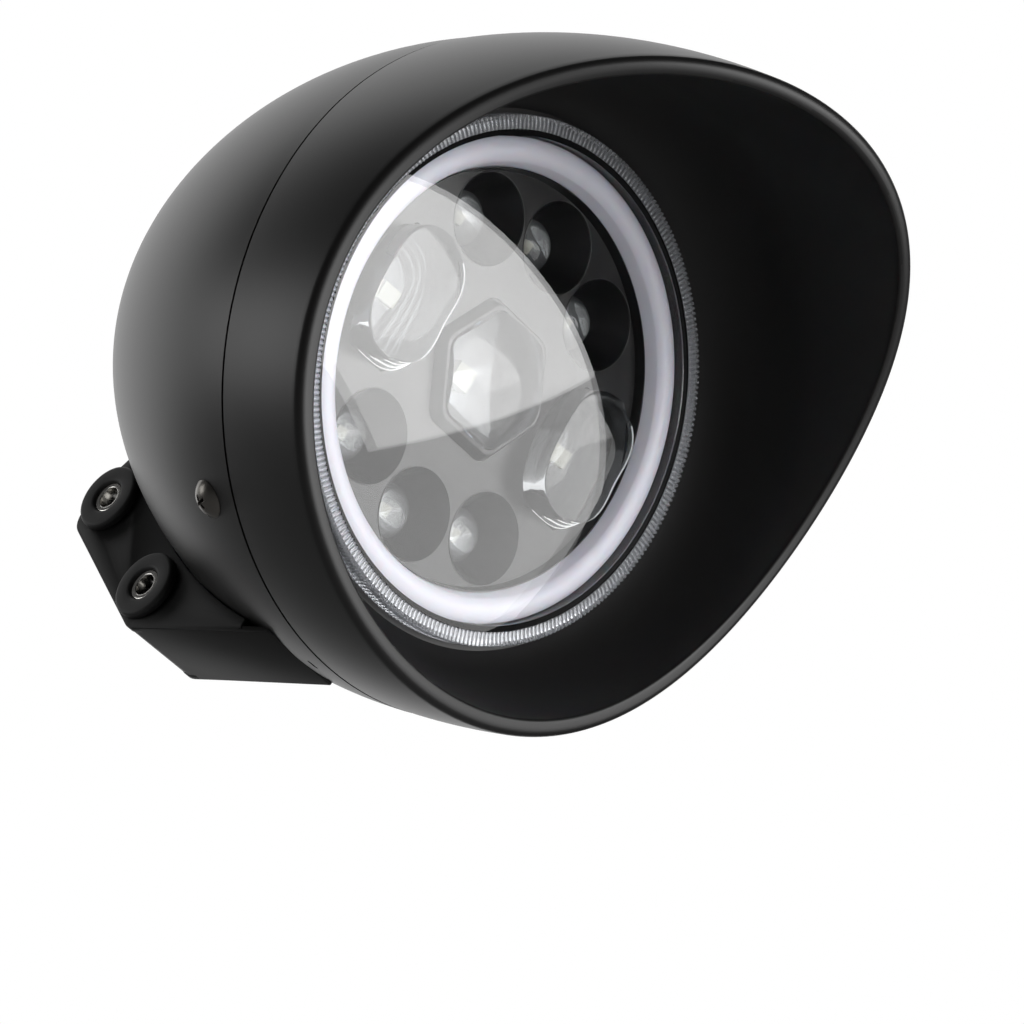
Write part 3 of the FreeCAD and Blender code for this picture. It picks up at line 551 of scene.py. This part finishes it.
def bezel_section(shell, turn):
    """Closed outline of the bezel at a turn, as points in space."""
    axis_gap = shell.radius - math.sqrt(shell.visor ** 2 - shell.crest ** 2)

    def outside(ahead, inset=0.0):
        return axis_gap + math.sqrt((shell.visor - inset) ** 2 - (ahead - shell.crest) ** 2)

    blend = Vector((shell.blend, outside(shell.blend, shell.rim_wall)))
    start = Vector((shell.ledge, shell.funnel_start))
    inward = (Vector((shell.crest, axis_gap)) - blend).normalized()
    chord = start - blend
    throat = chord.dot(chord) / (2 * chord.dot(inward))
    bowl = blend + inward * throat

    def funnel(ahead, grow=0.0):
        if ahead > shell.blend:
            return outside(ahead, shell.rim_wall)
        return bowl[1] + math.sqrt((throat + grow) ** 2 - (ahead - bowl[0]) ** 2)

    # The rim cuts a surface where these steps settle.
    def at_rim(surface):
        ahead = shell.rim_mid
        for _ in range(60):
            ahead = 0.5 * ahead + 0.5 * rim_ahead(shell, surface(ahead) * math.sin(turn))
        return Vector((ahead, surface(ahead)))

    outer = at_rim(outside)
    inner = at_rim(funnel)
    tangent = 6 * MM   # reach of the lines that the roundings touch
    climb = (outside(outer[0] + MM) - outside(outer[0])) / MM
    behind = outer - Vector((tangent, climb * tangent))
    slope = (funnel(inner[0]) - funnel(inner[0] - MM)) / MM
    down = inner - Vector((tangent, slope * tangent))
    nose = rounded_corner(behind, outer, inner, shell.rim_round, 9)
    lip = rounded_corner(outer, inner, down, shell.rim_inner_round, 5)
    edge = shell.seam / 2
    flat = [Vector((edge, shell.radius - edge))]
    flat += [Vector((a, outside(a))) for a in spaced(2 * edge, nose[0][0], 26)[:-1]]
    flat += nose + lip
    flat += [Vector((a, funnel(a))) for a in spaced(lip[-1][0], shell.ledge, 34)[1:]]
    ledge_back = shell.ledge - shell.wall
    seat = shell.opening + shell.seat
    sleeve = shell.spigot - shell.liner
    flat += [Vector((shell.ledge, shell.opening)), Vector((ledge_back, shell.opening))]
    flat += [Vector((ledge_back, seat))]
    flat += [Vector((a, funnel(a, shell.liner))) for a in spaced(shell.ledge + shell.liner, shell.hollow, 8)]
    flat += [Vector((a, outside(a, shell.skin))) for a in spaced(shell.hollow, shell.skin, 8)]
    flat += [Vector((shell.skin, sleeve)), Vector((-shell.spigot_depth, sleeve))]
    flat += [Vector((-shell.spigot_depth, shell.spigot)), Vector((edge, shell.spigot))]
    return on_lamp(flat, turn)


class HEADLIGHT_OT_front_bezel(bpy.types.Operator):
    """Bezel with its visor and the funnel down to the lens"""

    bl_idname = "headlight.front_bezel"
    bl_label = "Front bezel"

    def execute(self, context):
        shell = context.scene.headlight_shell
        piece = formed("front_bezel_shell", around=240, section=lambda turn: bezel_section(shell, turn))
        finish(piece, "housing_black", ["front_bezel"])
        piece.data.materials.append(finish_for("visor_inside"))
        inward = -0.6
        for face in piece.data.polygons:
            out = face.center - LAMP
            across = Vector((out.x, 0, out.z)).normalized()
            if -out.y > shell.ledge and face.normal.dot(across) < inward:
                face.material_index = 1
        return {"FINISHED"}


class HEADLIGHT_OT_side_screws(bpy.types.Operator):
    """Truss-head screws with a cross recess, one on each side"""

    bl_idname = "headlight.side_screws"
    bl_label = "Side screws"

    def execute(self, context):
        shell = context.scene.headlight_shell
        ball, reach = cap(shell.screw_head, shell.screw_height)
        crown = 0.97 * reach
        chain = [Vector((ball * math.sin(t), 0, shell.screw_height - ball + ball * math.cos(t)))
                 for t in spaced(0.0, crown, 14)]
        rim = Vector((shell.screw_head, 0, 0))
        sunk = Vector((0, 0, -0.3 * MM))
        chain += [rim, rim + sunk, sunk]
        screw = spun("side_screw_left", chain, (0, 0, 0), (0, 0, 1), steps=64)
        arm = (1.1 * MM, 5.6 * MM, 3.4 * MM)
        taper = 0.55
        for turn in (0.0, math.pi / 2):
            bit = block((0, 0, shell.screw_height), arm, turn)
            for vertex in bit.data.vertices:
                if vertex.co.z < shell.screw_height:
                    vertex.co.x *= taper
                    vertex.co.y *= taper
            cut_from(screw, bit)
        bevelled(screw, 0.18, 40.0)
        twin = screw.copy()
        twin.data = screw.data.copy()
        twin.name = "side_screw_right"
        context.collection.objects.link(twin)
        turns = (-shell.screw_angle, shell.screw_angle - math.pi)
        cross = Matrix.Rotation(math.radians(20), 3, "Z").to_quaternion()
        for piece, turn in zip((screw, twin), turns):
            point, out = skin_frame(shell, shell.screw_depth, turn)
            select_only(piece)
            lean = out.to_track_quat("Z", "Y") @ cross
            piece.matrix_world = Matrix.Translation(point) @ lean.to_matrix().to_4x4()
            bpy.ops.object.transform_apply()
            finish(piece, "bright_steel", ["side_screws"], 30.0, "dark_steel")
        return {"FINISHED"}


class HEADLIGHT_OT_bracket(bpy.types.Operator):
    """Saddle with its ears, bolts and cable grommet"""

    bl_idname = "headlight.bracket"
    bl_label = "Mounting bracket"

    def execute(self, context):
        sizes = context.scene.headlight_bracket
        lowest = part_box("mounting_bracket")[0].z
        saddle = Vector((-sizes.sheet_half, sizes.sheet_front, sizes.front_height))
        corner = Vector((-sizes.sheet_half, sizes.sheet_corner, lowest + sizes.corner_gap))
        heel = Vector((-sizes.sheet_half, sizes.heel, lowest + sizes.heel_rise))
        slope = corner - saddle
        above = Vector((0, -slope.z, slope.y))
        pieces = (("mounting_bracket", "bracket_black", 0.5), ("bracket_bolts", "black_steel", 0.4),
                  ("bracket_nuts", "zinc_steel", 0.3))
        for source, slot, width in pieces:
            piece = merged_copy(source, source + "_eased")
            if source == "mounting_bracket":
                self.trim(piece, Vector((0, sizes.saddle_front, 0)), Vector((0, 1, 0)))
            else:
                self.trim(piece, Vector((0, sizes.bolt_front, 0)), Vector((0, 1, 0)))
                self.trim(piece, corner + Vector((0, 0, sizes.sheet / 2)), above)
            bevelled(piece, width)
            finish(piece, slot, [source])
        grommet = merged_copy("cable_grommet", "cable_grommet_eased")
        bevelled(grommet, 0.5)
        finish(grommet, "black_rubber", ["cable_grommet"])
        self.bottom_sheet(sizes, saddle, corner, heel)
        return {"FINISHED"}

    def trim(self, piece, place, kept):
        """Cuts off what would stick out ahead of the bottom sheet or below it."""
        select_only(piece)
        select_mesh()
        bpy.ops.mesh.bisect(plane_co=place, plane_no=kept, use_fill=True, clear_inner=True)
        close_up()

    def bottom_sheet(self, sizes, saddle, corner, heel):
        """Sheet across the bottom of the ears, from the saddle past their lowest corner."""
        lift = Vector((0, 0, sizes.sheet))
        piece = start_edit("bracket_bottom_sheet")
        draw_chain([saddle, corner, heel, heel + lift, corner + lift, saddle + lift])
        select_mesh()
        bpy.ops.mesh.edge_face_add()
        bpy.ops.mesh.extrude_region_move(TRANSFORM_OT_translate={"value": (2 * sizes.sheet_half, 0, 0)})
        close_up()
        bevelled(piece, 0.4)
        finish(piece, "bracket_black", [])


class HEADLIGHT_OT_bushings(bpy.types.Operator):
    """Rubber grommets in the ears with their steel sleeves"""

    bl_idname = "headlight.bushings"
    bl_label = "Bushings"

    def execute(self, context):
        sizes = context.scene.headlight_bracket
        for place in ("front_left", "front_right", "rear_left", "rear_right"):
            self.bush(sizes, "grommet_" + place, sizes.grommet_bore, sizes.grommet_round)
            self.bush(sizes, "sleeve_" + place, sizes.sleeve_bore, sizes.sleeve_round)
        return {"FINISHED"}

    def bush(self, sizes, source, bore, easing):
        """Turned bush: a grommet has a groove for its ear, and a sleeve is set back."""
        grommet = source.startswith("grommet")
        low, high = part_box(source)
        middle = (low + high) / 2
        half = (high.x - low.x) / 2
        outer = (high.z - low.z) / 2
        if not grommet:
            half -= sizes.sleeve_set_back
        corners = [(-half, bore), (-half, outer)]
        if grommet:
            ear, neck = sizes.ear_half, sizes.grommet_neck
            corners += [(-ear, outer), (-ear, neck), (ear, neck), (ear, outer)]
        corners += [(half, outer), (half, bore)]
        flat = [Vector(corner) for corner in corners]
        groove = 0.2 * MM
        points = []
        for i, corner in enumerate(flat):
            radius = easing if abs(abs(corner[0]) - half) < MM / 10 else groove
            points += rounded_corner(flat[i - 1], corner, flat[(i + 1) % len(flat)], radius, 5)
        chain = [middle + Vector((along, 0, radius)) for along, radius in points + points[:1]]
        piece = spun(source + "_turned", chain, middle, (1, 0, 0), steps=64)
        finish(piece, "black_rubber" if grommet else "bright_steel", [source])


class HEADLIGHT_OT_cover(bpy.types.Operator):
    """Clear cover lens: its dome, and the ribs round its flange"""

    bl_idname = "headlight.cover"
    bl_label = "Cover lens"

    def execute(self, context):
        lamp = context.scene.headlight_lamp
        neck = lamp.cover_radius - lamp.flange
        bore = neck - lamp.cover_wall
        top = lamp.flange_ahead + lamp.shoulder
        collar_back = LAMP.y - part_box("outer_lens")[1].y
        collar_front = collar_back + lamp.collar_depth
        clamped = lamp.cover_radius + lamp.collar
        flat = self.dome(neck, top, lamp.rise)
        flat += [(lamp.flange_ahead, neck), (lamp.flange_ahead, lamp.cover_radius)]
        flat += [(collar_front, lamp.cover_radius), (collar_front, clamped), (collar_back, clamped)]
        flat += [(collar_back, bore)] + self.dome(bore, top - lamp.cover_wall, lamp.rise)[::-1]
        piece = spun("cover_lens_dome", on_lamp(flat), LAMP, (0, 1, 0), steps=192)
        finish(piece, "clear_cover", ["outer_lens"])
        ribs = formed("cover_lens_ribs", 6 * lamp.ribs, lambda turn: self.rib_section(lamp, neck, turn))
        # The ribs' whitish grey tint is painted reflection.
        finish(ribs, "clear_cover", [], 50.0, "ribs_with_painted_reflection")
        return {"FINISHED"}

    def dome(self, radius, edge, rise):
        """(ahead, radius) points of a dome, from its top to its edge."""
        ball, reach = cap(radius, rise)
        return [(edge + rise - ball + ball * math.cos(t), ball * math.sin(t)) for t in spaced(0.0, reach, 30)]

    def rib_section(self, lamp, neck, turn):
        """Outline of the ribbed ring at a turn, where it swells to a rib or falls to a gap."""
        fullness = 0.7
        swell = abs(math.cos(turn * lamp.ribs / 2)) ** fullness
        rise = lamp.rib_height * swell
        face = lamp.flange_ahead + lamp.rib_body
        foot = lamp.flange_ahead - lamp.rib_skirt
        gap = 0.15 * MM
        inner = neck + gap
        outer = lamp.cover_radius + lamp.rib_reach - lamp.rib_height * (1 - swell)
        round_off = 0.5 * MM
        flat = [(face, inner), (face + rise * 0.6, inner), (face + rise, inner + round_off)]
        flat += [(face + rise, outer - round_off)]
        flat += [(face + rise * 0.7 - round_off * 0.3, outer - round_off * 0.3), (face - round_off, outer)]
        flat += [(foot, outer), (foot, lamp.cover_radius), (face, lamp.cover_radius)]
        return on_lamp(flat, turn)


class HEADLIGHT_OT_halo(bpy.types.Operator):
    """Milky light guide round the mask"""

    bl_idname = "headlight.halo"
    bl_label = "Halo"

    def execute(self, context):
        lamp = context.scene.headlight_lamp
        front = lamp.flange_ahead - lamp.halo_recess
        back = front - lamp.halo_depth
        inner = lamp.halo_outer - lamp.halo_width
        root = inner - lamp.halo_taper
        crown = lamp.halo_width / 4
        middle = (inner + lamp.halo_outer) / 2
        ball, reach = cap(lamp.halo_width / 2, crown)
        turns = spaced(-reach, reach, 16)
        flat = [(front - ball + ball * math.cos(t), middle + ball * math.sin(t)) for t in turns]
        flat += [(back, lamp.halo_outer), (back, root), flat[0]]
        piece = spun("halo_light_guide", on_lamp(flat), LAMP, (0, 1, 0), steps=192)
        finish(piece, "halo_white", ["halo_ring"], 25.0)
        return {"FINISHED"}


class HEADLIGHT_OT_mask(bpy.types.Operator):
    """Black mask with its round wells, and the six-sided bezel"""

    bl_idname = "headlight.mask"
    bl_label = "Lamp mask"

    def execute(self, context):
        mask = merged_copy("lamp_mask", "lamp_mask_face", False)
        finish(mask, "mask_black", ["lamp_mask"])
        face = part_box("lamp_mask")[0].y
        self.border(context.scene.headlight_lamp, face)
        self.rims(context.scene.headlight_lamp, face)
        frame_piece = merged_copy("centre_bezel", "centre_bezel_eased")
        bevelled(frame_piece, 0.3, 20.0)
        finish(frame_piece, "mask_black", ["centre_bezel"])
        return {"FINISHED"}

    def border(self, lamp, face):
        """Thin black skirt from the mask up the inside of the light guide."""
        foot = LAMP.y - face
        top = foot + lamp.skirt_height
        lean = lamp.halo_taper / lamp.halo_depth
        gap = 0.1 * MM
        foot_radius = lamp.halo_outer - lamp.halo_width - lamp.halo_taper - gap
        top_radius = foot_radius + lean * (top - foot)
        wall = 0.3 * MM
        flat = [(foot, foot_radius), (top, top_radius), (top, top_radius - wall), (foot, foot_radius - wall)]
        piece = spun("lamp_mask_skirt", on_lamp(flat + flat[:1]), LAMP, (0, 1, 0), steps=160)
        finish(piece, "mask_black", [])

    def rims(self, lamp, face):
        """Fine raised line round the mouth of each small well."""
        bead = 0.22 * MM
        for source in sorted(frame["nodes"]):
            if source.startswith("small_lens_"):
                start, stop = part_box(source)
                centre = Vector(((start.x + stop.x) / 2, face, (start.z + stop.z) / 2))
                chain = []
                for turn in spaced(0.0, FULL_TURN, 9):
                    across = lamp.well_mouth + bead * math.cos(turn)
                    chain.append(centre + Vector((across, -bead * math.sin(turn), 0)))
                piece = spun(source + "_well_rim", chain, centre, (0, 1, 0), steps=72)
                finish(piece, "mask_black", [], 60.0)


class HEADLIGHT_OT_optics(bpy.types.Operator):
    """Small lenses, large stepped lenses and the centre lens"""

    bl_idname = "headlight.optics"
    bl_label = "Optics"

    def execute(self, context):
        lamp = context.scene.headlight_lamp
        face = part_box("lamp_mask")[0].y
        for source in sorted(frame["nodes"]):
            if source.startswith("large_lens_"):
                low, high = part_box(source)
                middle = (low + high) / 2
                outline = self.outline(lamp, (high - low) / 2)
                piece = formed(source + "_clear", 120, self.barrel(lamp, low, high, face, outline))
                finish(piece, "clear_optic", [source], 25.0, "coated_optic")
                self.painted_step_highlights(lamp, source, middle, face, outline)
            elif source.startswith(("small_lens_", "centre_lens")):
                finish(merged_copy(source, source + "_clear", False), "clear_optic", [source])
        return {"FINISHED"}

    def outline(self, lamp, half):
        """Gives, at a turn, the radius of a block's rounded outline and how far a step draws in there."""
        square = 2.8   # 2 would make an oval, and more makes it boxier

        def at(turn):
            c, d = math.cos(turn), math.sin(turn)
            reach = ((abs(c) / half.x) ** square + (abs(d) / half.z) ** square) ** (-1 / square)
            return reach, lamp.step * max(0.0, c) ** 0.5

        return at

    def painted_step_highlights(self, lamp, source, middle, face, outline):
        """Painted highlights: near-white tubes along the edges of the steps, standing in for the light that
        shows there as bright lines.
        """
        thin = 0.16 * MM
        thick = 0.24 * MM
        for i in range(4):
            # Each line is a little shorter than the one below it.
            first = math.radians(-100 + 8 * i)
            last = math.radians(85 - 6 * i)
            points = []
            for turn in spaced(first, last, 40):
                reach, inset = outline(turn)
                radius = reach - i * inset
                points.append(Vector((middle.x + radius * math.cos(turn), face - i * lamp.step_rise,
                                      middle.z + radius * math.sin(turn))))
            piece = start_edit(source + "_step_" + str(i + 1))
            draw_chain(points)
            bpy.ops.object.mode_set(mode="OBJECT")
            bpy.ops.object.convert(target="CURVE")
            piece.data.bevel_depth = (thin, thick)[i % 2]
            piece.data.bevel_resolution = 2
            piece.data.use_fill_caps = True
            bpy.ops.object.convert(target="MESH")
            close_up()
            # The near-white finish of these tubes is a painted highlight.
            finish(piece, "clear_optic", [], 40.0, "painted_highlight_edge")

    def barrel(self, lamp, low, high, face, outline):
        """Sections of a clear block with a rounded outline and steps down one side."""
        middle = (low + high) / 2
        back, front = high.y, low.y
        easing = 0.8 * MM

        def section(turn):
            reach, inset = outline(turn)
            flat = [(back, 0.0), (back, reach)]
            for i in range(3):
                place = face - i * lamp.step_rise
                flat += [(place, reach - i * inset), (place, reach - (i + 1) * inset)]
            edge = reach - 3 * inset
            flat += [(front + easing, edge), (front + easing / 4, edge - easing / 4), (front, edge - easing)]
            flat += [(front, edge / 2), (front, 0.0)]
            c, d = math.cos(turn), math.sin(turn)
            return [Vector((middle.x + radius * c, along, middle.z + radius * d)) for along, radius in flat]

        return section


class HEADLIGHT_OT_inner_works(bpy.types.Operator):
    """Finishes of the pieces that stay as they are built"""

    bl_idname = "headlight.inner_works"
    bl_label = "Inner works"

    def execute(self, context):
        for part in frame["record"]["subparts"]:
            solid = frame["nodes"][part["node"]]
            solid.data.materials.clear()
            solid.data.materials.append(finish_for(part["material_slot"]))
        return {"FINISHED"}


class HEADLIGHT_OT_stage(bpy.types.Operator):
    """Camera, floor, world and lamps"""

    bl_idname = "headlight.stage"
    bl_label = "Stage"

    def execute(self, context):
        stage = context.scene.headlight_stage
        context.scene.view_settings.view_transform = "Standard"
        self.camera(context, stage)
        self.floor(context, stage)
        self.world(context, stage)
        self.lamps(context)
        return {"FINISHED"}

    def camera(self, context, stage):
        """Camera at its place, turned and rolled."""
        az, el, roll = stage.azimuth, stage.elevation, stage.roll
        back = Vector((math.sin(az) * math.cos(el), -math.cos(az) * math.cos(el), math.sin(el)))
        right = Vector((math.cos(az), math.sin(az), 0))
        up = back.cross(right)
        across = right * math.cos(roll) + up * math.sin(roll)
        upright = up * math.cos(roll) - right * math.sin(roll)
        clear_selection()
        bpy.ops.object.camera_add(location=LAMP + Vector(stage.camera_place))
        camera = context.object
        turn = Matrix((across, upright, back)).transposed()
        camera.rotation_euler = turn.to_euler()
        camera.data.lens = stage.lens
        camera.data.sensor_width = 36
        camera.data.clip_end = 20
        context.scene.camera = camera

    def floor(self, context, stage):
        """Plain pale floor."""
        clear_selection()
        place = (0, LAMP.y, LAMP.z - stage.floor_drop)
        bpy.ops.mesh.primitive_plane_add(size=stage.floor_size, location=place)
        floor = context.object
        floor.name = "studio_floor"
        floor.data.materials.append(self.paper())

    def paper(self):
        """White to the camera, but dark to the object, so that its underside stays dark."""
        paper, tree, shader = principled("white paper", "#f4f4f4", 0.9, {"Emission Strength": 0.7})
        path = node(tree, "ShaderNodeLightPath")
        dark = node(tree, "ShaderNodeBsdfDiffuse")
        dark.inputs["Color"].default_value = (*linear("#909090"), 1)
        mixed(tree, path.outputs["Is Camera Ray"], dark, shader)
        return paper

    def world(self, context, stage):
        """White to the camera and through the glass, but a dim room to everything else."""
        world = bpy.data.worlds.new("studio")
        context.scene.world = world
        world.use_nodes = True
        tree = world.node_tree
        dim = tree.nodes["Background"]
        dim.inputs["Color"].default_value = (1, 1, 1, 1)
        dim.inputs["Strength"].default_value = stage.room
        white = node(tree, "ShaderNodeBackground")
        white.inputs["Color"].default_value = (1, 1, 1, 1)
        path = node(tree, "ShaderNodeLightPath")
        seen = node(tree, "ShaderNodeMath", [(0, path.outputs["Is Camera Ray"]),
                                             (1, path.outputs["Is Transmission Ray"])], operation="MAXIMUM")
        mixed(tree, seen.outputs[0], dim, white, "World Output")

    def lamps(self, context):
        """Two panels that the lens mirrors, and two soft lights behind the shell."""
        self.panel("key_softbox", ((-15, 34), (52, 26), (18, -3), (-25, 12)), 1.3, 4.4)
        self.panel("low_reflector", ((-30, 8), (52, 26), (61, 18), (50, -40)), 2.4, 2.0)
        self.softbox(context, "back_sweep", (0.6, 1.6, 0.55), 3.2, 40)
        self.softbox(context, "left_strip", (-0.76, 0.87, -0.31), 0.45, 2)

    def panel(self, name, corners, reach, strength):
        """Glowing panel ahead of the lamp: corners are turns and heights in degrees, from the lens."""
        points = []
        for turn, height in corners:
            t, h = math.radians(turn), math.radians(height)
            out = Vector((math.sin(t) * math.cos(h), -math.cos(t) * math.cos(h), math.sin(h)))
            points.append(LAMP + reach * out)
        clear_selection()
        bpy.ops.mesh.primitive_plane_add(size=1, location=(0, 0, 0))
        panel = bpy.context.object
        panel.name = name
        # The plane's own corners run in another order.
        for vertex, index in zip(panel.data.vertices, (2, 3, 1, 0)):
            vertex.co = points[index]
        glow = bpy.data.materials.new(name)
        glow.use_nodes = True
        tree = glow.node_tree
        tree.nodes.remove(tree.nodes["Principled BSDF"])
        light = node(tree, "ShaderNodeEmission")
        light.inputs["Strength"].default_value = strength
        tree.links.new(tree.nodes["Material Output"].inputs["Surface"], light.outputs[0])
        panel.data.materials.append(glow)
        panel.visible_camera = False

    def softbox(self, context, name, place, size, power):
        """Square area light that looks at the lamp."""
        clear_selection()
        bpy.ops.object.light_add(type="AREA", location=LAMP + Vector(place))
        lamp = context.object
        lamp.name = name
        lamp.data.size = size
        lamp.data.energy = power
        lamp.rotation_euler = (LAMP - lamp.location).to_track_quat("-Z", "Y").to_euler()


class HEADLIGHT_PT_pieces(bpy.types.Panel):
    """Lists the headlight's pieces and sizes"""

    bl_idname = "HEADLIGHT_PT_pieces"
    bl_label = "Headlight"
    bl_space_type = "VIEW_3D"
    bl_region_type = "UI"
    bl_category = "Headlight"

    def draw(self, context):
        for maker in MAKERS:
            self.layout.operator(maker.bl_idname)
        for name, group in GROUPS.items():
            box = self.layout.box()
            for key in group.__annotations__:
                box.prop(getattr(context.scene, name), key)


GROUPS = {
    "headlight_shell": HeadlightShell,
    "headlight_bracket": HeadlightBracket,
    "headlight_lamp": HeadlightLamp,
    "headlight_colours": HeadlightColours,
    "headlight_stage": HeadlightStage,
}
MAKERS = (
    HEADLIGHT_OT_inner_works, HEADLIGHT_OT_rear_bucket, HEADLIGHT_OT_front_bezel, HEADLIGHT_OT_side_screws,
    HEADLIGHT_OT_bracket, HEADLIGHT_OT_bushings, HEADLIGHT_OT_cover, HEADLIGHT_OT_halo, HEADLIGHT_OT_mask,
    HEADLIGHT_OT_optics, HEADLIGHT_OT_stage,
)


def register():
    for name, group in GROUPS.items():
        bpy.utils.register_class(group)
        setattr(bpy.types.Scene, name, PointerProperty(type=group))
    for maker in MAKERS:
        bpy.utils.register_class(maker)
    bpy.utils.register_class(HEADLIGHT_PT_pieces)


def unregister():
    bpy.utils.unregister_class(HEADLIGHT_PT_pieces)
    for maker in MAKERS:
        bpy.utils.unregister_class(maker)
    for name, group in GROUPS.items():
        delattr(bpy.types.Scene, name)
        bpy.utils.unregister_class(group)


def main():
    register()
    for maker in MAKERS:
        family, name = maker.bl_idname.split(".")
        getattr(getattr(bpy.ops, family), name)()


if __name__ == "__main__":
    main()
